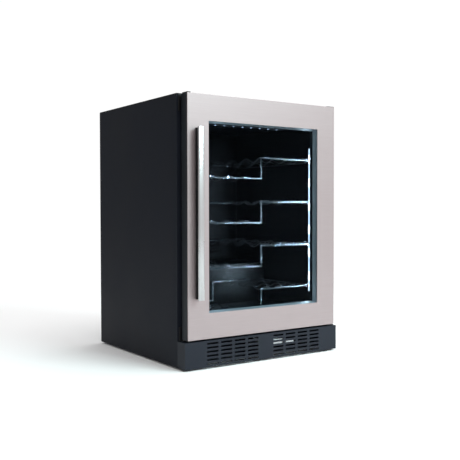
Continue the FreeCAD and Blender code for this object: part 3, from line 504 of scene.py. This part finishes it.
def addSpacer(look):
    # the warm-edge spacer leans inwards behind the front pane, so its face shows in the reveal
    low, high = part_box("glass_spacer")
    outer = -look["outline"][0][0] * mm
    shape = bmesh.new()
    loops = []
    for sideX, sideZ in ((-1, -1), (1, -1), (1, 1), (-1, 1)):
        edgeX = (high.x - outer) if sideX > 0 else (low.x + outer)
        edgeZ = (high.z - outer) if sideZ > 0 else (low.z + outer)
        loop = [shape.verts.new((edgeX - sideX * u * mm, low.y + w * mm, edgeZ - sideZ * u * mm))
                for u, w in look["outline"]]
        loops.append([shape.edges.new(pair) for pair in zip(loop, loop[1:] + loop[:1])])
    for first, second in zip(loops, loops[1:] + loops[:1]):
        bmesh.ops.bridge_loops(shape, edges=first + second)
    addPiece("leaningSpacer", shape, "spacer", "glass_spacer", ["glass_spacer"])


addSpacer(spacerForm)
print("spacer made")

screwHead = {"crown": 0.75, "crossWidth": 0.16, "crossLength": 0.62, "crossDepth": 0.55}


def addScrewHead(shape, centre, axis, radius, height):
    # a pan head, pressed cross recess and all; shares of the radius and height
    before = set(shape.verts)
    disc = bmesh.ops.create_circle(shape, cap_ends=True, segments=24,
                                   radius=radius * screwHead["crown"])["verts"]
    top = next(f for v in disc for f in v.link_faces)
    cross = []
    wide, long = radius * screwHead["crossWidth"], radius * screwHead["crossLength"]
    for quarter in range(4):
        turn = Matrix.Rotation(quarter * math.pi / 2, 3, "Z")
        cross += [shape.verts.new(turn @ Vector(p)) for p in
                  ((wide, wide, 0), (wide, long, 0), (-wide, long, 0))]
    recess = [shape.edges.new((a, b)) for a, b in zip(cross, cross[1:] + cross[:1])]
    rim = list(top.edges)
    bmesh.ops.delete(shape, geom=[top], context="FACES_ONLY")
    bmesh.ops.triangle_fill(shape, use_beauty=True, edges=rim + recess)
    floor = bmesh.ops.contextual_create(shape, geom=recess)["faces"]
    bmesh.ops.translate(shape, verts=disc + cross, vec=(0, 0, height))
    sunk = bmesh.ops.extrude_face_region(shape, geom=floor)["geom"]
    bmesh.ops.translate(shape, verts=[g for g in sunk if isinstance(g, bmesh.types.BMVert)],
                        vec=(0, 0, -height * screwHead["crossDepth"]))
    bmesh.ops.delete(shape, geom=[f for f in floor if f.is_valid], context="FACES_ONLY")
    for spread, level in ((1 / screwHead["crown"], 0.45), (1.0, 0.0)):
        skirt = bmesh.ops.extrude_edge_only(shape, edges=rim)["geom"]
        lower = [g for g in skirt if isinstance(g, bmesh.types.BMVert)]
        for vert in lower:
            vert.co = Vector((vert.co.x * spread, vert.co.y * spread, height * level))
        rim = [g for g in skirt if isinstance(g, bmesh.types.BMEdge)
               and all(v in lower for v in g.verts)]
    bmesh.ops.contextual_create(shape, geom=rim)
    moved(shape, before, centre, axis)


shape = bmesh.new()
for low, high in solidBoxes("cabinet_screws"):
    span = high - low
    thin = min(range(3), key=lambda i: span[i])
    centre = (low + high) / 2
    side = 1 if centre[thin] > 0 else -1
    centre[thin] = low[thin] if side > 0 else high[thin]
    axis = Vector([side if i == thin else 0 for i in range(3)])
    addScrewHead(shape, centre, axis, max(span) / 2, span[thin])
addPiece("crossHeadScrews", shape, "zinc", "cabinet_screws", ["cabinet_screws"])
print("screws made")


gasket = {  # mm, across the seal: distance in from its outer edge, height off the door
    "outline": [(0.0, 0.0), (0.0, 1.6), (2.4, 2.2), (1.0, 3.6), (1.0, 8.6), (2.2, 9.6),
                (9.4, 9.6), (10.6, 8.6), (10.6, 3.6), (9.2, 2.2), (12.0, 1.6), (12.0, 0.0)],
}


def addGasket(look):
    # a folded magnetic bellows seal, mitred at its four corners
    low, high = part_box("door_gasket")
    shape = bmesh.new()
    loops = []
    for sideX, sideZ in ((-1, -1), (1, -1), (1, 1), (-1, 1)):
        cornerX = high.x if sideX > 0 else low.x
        cornerZ = high.z if sideZ > 0 else low.z
        loop = [shape.verts.new((cornerX - sideX * u * mm, low.y + w * mm,
                                 cornerZ - sideZ * u * mm)) for u, w in look["outline"]]
        loops.append([shape.edges.new(pair) for pair in zip(loop, loop[1:] + loop[:1])])
    for first, second in zip(loops, loops[1:] + loops[:1]):
        bmesh.ops.bridge_loops(shape, edges=first + second)
    addPiece("bellowsSeal", shape, "sealVinyl", "door_gasket", ["door_gasket"], sharpAngle=60)


addGasket(gasket)
print("seal made")


def addLampRow(look):
    # a small clear lens stands over each lamp in the two strips
    shape = bmesh.new()
    for low, high in solidBoxes("led_diffusers"):
        side = 1 if low.x > 0 else -1
        face = low.x if side > 0 else high.x
        for i in range(look["count"]):
            height = (look["first"] + look["pitch"] * i) * mm
            r, h = look["radius"], look["proud"]
            dome = [(0, 0), (r, 0), (r, h * 0.3), (r * 0.8, h * 0.75), (r * 0.4, h), (0, h)]
            addTurned(shape, dome, (face, (low.y + high.y) / 2, height), (-side, 0, 0),
                      steps=16)
    addPiece("lampLenses", shape, "lampChip", "led_diffusers")


addLampRow(lampRow)
print("lamps made")

fanGuard = {"rings": (12, 24, 36, 47), "wire": 0.9, "spokes": 6, "gap": 0.6}  # mm
coolingGuard = {"rings": (14, 28, 42, 56, 66), "wire": 1.0, "spokes": 4, "gap": 1.2}
coolingAxisHeight = 100.2  # mm off the floor


def addFanGuard(name, look, centre, axis, like, finish):
    # concentric finger-guard rings on spokes, with a plain disc over the hub
    shape = bmesh.new()
    before = set(shape.verts)
    for radius in look["rings"]:
        addRing(shape, radius, look["wire"], (0, 0, 0), (0, 0, 1))
    for i in range(look["spokes"]):
        turn = Matrix.Rotation(math.tau * i / look["spokes"], 3, "Z")
        start = turn @ Vector((look["rings"][0] * mm, 0, 0))
        end = turn @ Vector(((look["rings"][-1] + 3.5) * mm, 0, 0))
        addRod(shape, start, end, look["wire"])
    hub = look["rings"][0]
    addTurned(shape, [(0, -0.8), (hub - 1, -0.8), (hub, 0), (hub - 1, 0.9), (0, 0.9)],
              (0, 0, 0))
    moved(shape, before, centre, axis)
    addPiece(name, shape, finish, like)


shroudLow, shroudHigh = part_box("evaporator_fan_shroud")
fanMiddle = (shroudLow + shroudHigh) / 2
addFanGuard("coldAirGuard", fanGuard,
            (fanMiddle.x, shroudLow.y - fanGuard["gap"] * mm, fanMiddle.z),
            (0, -1, 0), "evaporator_fan_shroud", "blackPlastic")
coolLow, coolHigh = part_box("condenser_fan_shroud")
addFanGuard("coolingAirGuard", coolingGuard,
            (coolHigh.x + coolingGuard["gap"] * mm, (coolLow.y + coolHigh.y) / 2,
             coolingAxisHeight * mm), (1, 0, 0), "condenser_fan_shroud", "zinc")
print("fan guards made")


coilBends = {"rows": 5, "columns": 3, "pitchZ": 26, "pitchY": 40, "tube": 3.2}  # mm


def addCoilBends(look):
    # hairpin bends of the copper tube that threads the condenser fins
    low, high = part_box("condenser")
    middle = (low + high) / 2
    shape = bmesh.new()
    for column in range(look["columns"]):
        y = middle.y + (column - (look["columns"] - 1) / 2) * look["pitchY"] * mm
        for row in range(look["rows"]):
            z = middle.z + (row - (look["rows"] - 1) / 2) * look["pitchZ"] * mm
            before = set(shape.verts)
            loop = bmesh.ops.create_circle(shape, segments=10, radius=look["tube"] * mm)["verts"]
            bmesh.ops.transform(shape, verts=loop, matrix=Matrix.Translation(
                (0, -look["pitchY"] * mm / 4, 0)) @ Matrix.Rotation(math.pi / 2, 4, "Y"))
            edges = list({e for v in loop for e in v.link_edges})
            bmesh.ops.spin(shape, geom=loop + edges, cent=(0, 0, 0), axis=(0, 0, 1),
                           angle=math.pi, steps=12)
            moved(shape, before, (high.x, y, z))
    bmesh.ops.holes_fill(shape, edges=shape.edges, sides=12)
    addPiece("coilBends", shape, "copper", "condenser")


addCoilBends(coilBends)


shellTrim = {  # mm
    "axisIn": 95, "beltRadius": 72, "beltHeight": 78, "tubeRadius": 3.2,
    "tubeStart": (-50, 46, 60), "tubeOut": (-16, 16, 0), "tubeRise": 42,
}


def addCompressorTrim(look):
    # the weld belt round the shell and its sealed filling tube
    low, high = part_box("compressor")
    centre = Vector((low.x + look["axisIn"] * mm, (low.y + high.y) / 2, low.z))
    belt = look["beltRadius"]
    shape = bmesh.new()
    addTurned(shape, [(belt - 2, -3), (belt + 1.2, -3), (belt + 2, -1.5), (belt + 2, 1.5),
                      (belt + 1.2, 3), (belt - 2, 3), (belt - 2, -3)],
              (centre.x, centre.y, low.z + look["beltHeight"] * mm), steps=64)
    addPiece("shellWeldBelt", shape, "enamel", "compressor")
    shape = bmesh.new()
    start = centre + Vector(look["tubeStart"]) * mm
    bend = start + Vector(look["tubeOut"]) * mm
    tip = bend + Vector((0, 0, look["tubeRise"] * mm))
    addRod(shape, start, bend, look["tubeRadius"], 14)
    addRod(shape, bend - Vector((0, 0, 3 * mm)), tip, look["tubeRadius"], 14)
    addPiece("fillingTube", shape, "copper", "compressor")


addCompressorTrim(shellTrim)
print("machine bay dressed")


foot = {"sole": 1.2, "lobes": 12, "threadRoot": 3.4, "threadCrest": 4.0, "threadPitch": 2.0}  # mm


def addFoot(name, look):
    # a lobed hand-grip pad on a threaded stem
    low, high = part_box(name)
    centre = Vector(((low.x + high.x) / 2, (low.y + high.y) / 2, 0))
    radius = (high.x - low.x) / 2 / mm
    padTop = min(4.0, radius)
    shape = bmesh.new()
    pad = addTurned(shape, [(0, 0), (radius - 1.4, 0), (radius, look["sole"]),
                            (radius, padTop - 1), (radius - 1, padTop), (0, padTop)],
                    (0, 0, 0), steps=look["lobes"] * 4)
    for vert in pad:
        reach = Vector((vert.co.x, vert.co.y)).length
        if reach > (radius - 2) * mm:
            angle = math.atan2(vert.co.y, vert.co.x)
            pinch = 1 - 0.045 * (0.5 - 0.5 * math.cos(angle * look["lobes"]))
            vert.co.x *= pinch
            vert.co.y *= pinch
    stem = []
    level = padTop - 0.5
    while level < high.z / mm - look["threadPitch"]:
        stem += [(look["threadRoot"], level),
                 (look["threadCrest"], level + look["threadPitch"] / 2)]
        level += look["threadPitch"]
    stem += [(look["threadRoot"], high.z / mm - 0.6), (look["threadRoot"] - 0.4, high.z / mm),
             (0, high.z / mm)]
    addTurned(shape, [(0, padTop - 0.5)] + stem, (0, 0, 0), steps=24)
    moved(shape, set(), centre)
    addPiece(name + "Turned", shape, nodeFinish[name], name, [name])


for name in ("foot_front_left", "foot_front_right", "foot_rear_left", "foot_rear_right"):
    addFoot(name, foot)
print("feet made")


rodCap = {"radius": 3.3, "length": 9.0}  # mm


def addRodCaps(look):
    # a small sleeve on each end of the rack rods, which stops them scratching the rails
    for name in ("shelf_1", "shelf_2", "shelf_3", "shelf_4"):
        low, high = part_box(name)
        ends = {}
        for vert in nodes[name].data.vertices:
            for side, limit in ((-1, low.x), (1, high.x)):
                if abs(vert.co.x - limit) < 0.05 * mm:
                    key = (side, round(vert.co.y / mm / 12), round(vert.co.z / mm / 12))
                    ends.setdefault(key, []).append(vert.co.copy())
        shape = bmesh.new()
        for (side, _, _), points in ends.items():
            y = (min(p.y for p in points) + max(p.y for p in points)) / 2
            z = (min(p.z for p in points) + max(p.z for p in points)) / 2
            limit = low.x if side < 0 else high.x
            r, length = look["radius"], look["length"]
            sleeve = [(0, 0), (r - 1, 0), (r, 0.8), (r, length - 0.6), (r - 0.6, length),
                      (0, length)]
            addTurned(shape, sleeve, (limit - side * (length - 0.8) * mm, y, z), (side, 0, 0),
                      steps=16)
        addPiece(name + "RodCaps", shape, "blackPlastic", name)


addRodCaps(rodCap)
print("rack ends capped")


panelTrim = {  # mm
    "buttons": 4, "firstButton": 22, "pitch": 24, "ring": 4.2, "bezel": 1.6, "proud": 1.8,
}


def addPanelTrim(look):
    # a thin raised frame round the display, and pressed rings that mark the touch keys
    low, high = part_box("display_window")
    panelLow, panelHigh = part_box("control_panel")
    shape = bmesh.new()
    rim = look["bezel"] * mm
    face = panelLow.y
    for left, bottom, right, top in (
            (low.x - rim, low.z - rim, high.x + rim, low.z),
            (low.x - rim, high.z, high.x + rim, high.z + rim),
            (low.x - rim * 0.9, low.z - rim / 4, low.x, high.z + rim / 4),
            (high.x, low.z - rim / 4, high.x + rim * 0.9, high.z + rim / 4)):
        addBlock(shape, (left, face - look["proud"] * mm, bottom), (right, face, top), 0)
    middle = (low.z + high.z) / 2
    for side in (-1, 1):
        for i in range(look["buttons"] // 2):
            x = side * (high.x + (look["firstButton"] + look["pitch"] * i) * mm)
            addRing(shape, look["ring"], 0.5, (x, face, middle), (0, -1, 0), 32, 6)
    addPiece("displayBezel", shape, "blackPlastic", "control_panel")


addPanelTrim(panelTrim)


filterGrip = {  # mm
    "bars": 8, "barFrom": 9, "barTo": 17, "ring": 21, "gripLong": 30, "gripWide": 4,
    "gripProud": 3.5,
}


def addFilterGrip(look):
    # vent bars and a turning grip on the charcoal filter's cap
    low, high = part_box("charcoal_filter")
    x, z = (low.x + high.x) / 2, (low.z + high.z) / 2
    shape = bmesh.new()
    long, wide = look["gripLong"] / 2 * mm, look["gripWide"] / 2 * mm
    addBlock(shape, (x - long, low.y - look["gripProud"] * mm, z - wide),
             (x + long, low.y, z + wide), 1.5, "y")
    for i in range(look["bars"]):
        angle = math.tau * (i + 0.5) / look["bars"]
        outwards = Vector((math.cos(angle), 0, math.sin(angle)))
        middle = Vector((x, low.y - 0.4 * mm, z))
        addRod(shape, middle + outwards * look["barFrom"] * mm,
               middle + outwards * look["barTo"] * mm, 0.9, 8)
    addRing(shape, look["ring"], 0.9, (x, low.y - 0.2 * mm, z), (0, -1, 0), 40, 8)
    addPiece("filterGrip", shape, "blackPlastic", "charcoal_filter")


addFilterGrip(filterGrip)
print("control panel and filter dressed")


terminalCover = {  # mm
    "forward": 13, "leftWide": 48, "gap": 2, "leftTall": 20, "rightTall": 10, "corner": 1.5,
    "ribs": 3, "ribPitch": 12,
}


def addTerminalCover(look):
    # the board box's white terminal cover stands close behind the plinth's slots
    low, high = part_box("power_board_box")
    front = low.y - look["forward"] * mm
    seam = low.x + look["leftWide"] * mm
    bottom = high.z - look["leftTall"] * mm
    shape = bmesh.new()
    addBlock(shape, (low.x, front, bottom), (seam, low.y, high.z), look["corner"], "y")
    addBlock(shape, (seam + look["gap"] * mm, front, bottom),
             (high.x, low.y, high.z - look["rightTall"] * mm), look["corner"], "y")
    for i in range(look["ribs"]):
        x = low.x + look["ribPitch"] * (i + 1) * mm
        addBlock(shape, (x, front - 0.8 * mm, bottom + 2 * mm),
                 (x + 1.2 * mm, front, high.z - 2 * mm), 0.3, "y")
    addPiece("terminalCover", shape, "whitePlastic", "power_board_box")


addTerminalCover(terminalCover)


inletPins = {  # mm: places about the inlet's middle, half sizes, and how deep they stand
    "places": ((-7, -2), (7, -2), (0, 3)), "halfWide": 1, "halfTall": 2, "from": 12, "to": 2,
}


def addInletPins(look):
    # three blades stand in the mains inlet's mouth
    low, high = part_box("power_inlet")
    x, z = (low.x + high.x) / 2, (low.z + high.z) / 2
    wide, tall = look["halfWide"], look["halfTall"]
    shape = bmesh.new()
    for right, up in look["places"]:
        addBlock(shape, (x + (right - wide) * mm, high.y - look["from"] * mm, z + (up - tall) * mm),
                 (x + (right + wide) * mm, high.y - look["to"] * mm, z + (up + tall) * mm),
                 0.4, "y")
    addPiece("inletPins", shape, "brass", "power_inlet")


addInletPins(inletPins)
print("board box and inlet dressed")


rearTrim = {  # mm
    "beads": (-190, 0, 190), "beadWidth": 22, "beadProud": 1.6, "beadEnds": 60,
    "label": (-140, -50, 150, 205), "labelThick": 0.3,
}


def addRearTrim(look):
    # pressed stiffening beads and a plain label on the rear sheet
    low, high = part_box("rear_panel")
    shape = bmesh.new()
    for x in look["beads"]:
        half = look["beadWidth"] / 2 * mm
        ends = look["beadEnds"] * mm
        first = (x * mm - half, high.y - 0.4 * mm, low.z + ends)
        second = (x * mm + half, high.y + look["beadProud"] * mm, high.z - ends)
        before = set(shape.verts)
        addBlock(shape, first, second, look["beadWidth"] / 2 - 0.5, "y", 6)
        made = [v for v in shape.verts if v not in before]
        face = [e for e in {e for v in made for e in v.link_edges}
                if all(v.co.y > high.y + 1 * mm for v in e.verts)]
        bmesh.ops.bevel(shape, geom=face, offset=1.4 * mm, offset_type="OFFSET",
                        affect="EDGES", segments=3, profile=0.5, material=-1)
    addPiece("rearBeads", shape, "galvanised", "rear_panel")
    shape = bmesh.new()
    left, right, bottom, top = (edge * mm for edge in look["label"])
    addBlock(shape, (left, high.y, low.z + bottom),
             (right, high.y + look["labelThick"] * mm, low.z + top), 3, "y")
    addPiece("rearLabel", shape, "foilLabel", "rear_panel")


addRearTrim(rearTrim)
print("rear dressed")


cameraSetting = {
    "place": (-1.3947, -2.0979, 0.4790),
    "turnRight": 34.62,
    "tiltDown": 1.68,
    "roll": -0.10,
    "lens": 57.15,
}


def addCamera(setting):
    data = bpy.data.cameras.new("viewCamera")
    data.lens = setting["lens"]
    data.sensor_width = 36
    camera = bpy.data.objects.new("viewCamera", data)
    facing = (Matrix.Rotation(math.radians(-setting["turnRight"]), 4, "Z")
              @ Matrix.Rotation(math.radians(90 - setting["tiltDown"]), 4, "X")
              @ Matrix.Rotation(math.radians(setting["roll"]), 4, "Z"))
    camera.matrix_world = Matrix.Translation(setting["place"]) @ facing
    bpy.context.scene.collection.objects.link(camera)
    bpy.context.scene.camera = camera


studio = {
    "floorRadius": 3.0,
    "floorLight": "#FAFAFA",
    "floorDark": "#F6F6F6",
    "skyWhite": 1.03,
    "skyDimBack": 0.14,
    "skyDimFront": 0.6,
    "lamps": [
        # name, place, aims at, width, height, watts, colour
        ("overheadSoftbox", (0.6, -1.0, 3.4), (0, 0, 0.3), 3.6, 3.6, 74, "#FFFFFF"),
        ("frontSoftbox", (1.3, -3.4, 2.7), (0, -0.2, 0.7), 2.2, 1.6, 118, "#DEFFFF"),
    ],
    "stripWatts": 3.0,
}


def addStudio(look):
    # a pale round floor whose rim melts into the white surround, so no horizon shows
    mesh = bpy.data.meshes.new("studioFloor")
    shape = bmesh.new()
    bmesh.ops.create_circle(shape, cap_ends=True, segments=96, radius=look["floorRadius"])
    shape.to_mesh(mesh)
    shape.free()
    floor = bpy.data.objects.new("studioFloor", mesh)
    bpy.context.scene.collection.objects.link(floor)
    material, tree, place = startMaterial("paleStudioPaint")
    colour = colourRamp(tree, noiseOf(tree, place, 1400), [
        (0.2, look["floorDark"]), (0.8, look["floorLight"])])
    paint = addNode(tree, "ShaderNodeBsdfPrincipled", {"Base Color": colour},
                    {"Roughness": 0.9, "Specular IOR Level": 0.1})
    reach = addNode(tree, "ShaderNodeVectorMath", {0: place}, operation="LENGTH").outputs["Value"]
    fade = addNode(tree, "ShaderNodeMapRange", {"Value": reach}, {
        "From Min": look["floorRadius"] * 0.45, "From Max": look["floorRadius"] * 0.98},
        interpolation_type="SMOOTHSTEP").outputs[0]
    nothing = addNode(tree, "ShaderNodeBsdfTransparent")
    shader = addNode(tree, "ShaderNodeMixShader", {
        0: fade, 1: paint.outputs[0], 2: nothing.outputs[0]})
    mesh.materials.append(endMaterial(material, tree, shader.outputs[0]))

    # the surround is white; its light dims towards the left, as a black flag there makes it
    world = bpy.data.worlds.new("paleSky")
    world.use_nodes = True
    tree = world.node_tree
    tree.nodes.clear()
    direction = addNode(tree, "ShaderNodeTexCoord").outputs["Generated"]
    parts = addNode(tree, "ShaderNodeSeparateXYZ", {"Vector": direction})
    dim = addNode(tree, "ShaderNodeMapRange", {"Value": parts.outputs["Y"]}, {
        "From Min": -0.3, "From Max": 0.4, "To Min": look["skyDimFront"],
        "To Max": look["skyDimBack"]})
    level = addNode(tree, "ShaderNodeMapRange", {
        "Value": parts.outputs["X"], "To Min": dim.outputs[0]}, {
        "From Min": -0.55, "From Max": 0.2, "To Max": look["skyWhite"]})
    sky = addNode(tree, "ShaderNodeBackground", {"Strength": level.outputs[0]},
                  {"Color": linearColour("#FFFFFF")})
    surround = addNode(tree, "ShaderNodeBackground", sockets={
        "Color": linearColour("#FFFFFF"), "Strength": look["skyWhite"]})
    seen = addNode(tree, "ShaderNodeLightPath").outputs["Is Camera Ray"]
    both = addNode(tree, "ShaderNodeMixShader", {
        0: seen, 1: sky.outputs[0], 2: surround.outputs[0]})
    addNode(tree, "ShaderNodeOutputWorld", {"Surface": both.outputs[0]})
    bpy.context.scene.world = world
    bpy.context.scene.view_settings.view_transform = "Standard"

    lamps = list(look["lamps"])
    for low, high in solidBoxes("led_diffusers"):
        side = 1 if low.x > 0 else -1
        face = (low.x if side > 0 else high.x) - side * 3 * mm
        middle = (low + high) / 2
        lamps.append(("stripLight", (face, middle.y, middle.z), (0, middle.y + 0.05, middle.z),
                      0.012, high.z - low.z, look["stripWatts"], "#EAF6FF"))
    for name, place, target, width, height, watts, colour in lamps:
        data = bpy.data.lights.new(name, "AREA")
        data.shape = "RECTANGLE"
        data.size = width
        data.size_y = height
        data.energy = watts
        data.color = linearColour(colour)[:3]
        lamp = bpy.data.objects.new(name, data)
        aim = Vector(target) - Vector(place)
        lamp.matrix_world = (Matrix.Translation(place)
                             @ aim.to_track_quat("-Z", "Y").to_matrix().to_4x4())
        bpy.context.scene.collection.objects.link(lamp)


addCamera(cameraSetting)
addStudio(studio)
print("camera and studio ready")
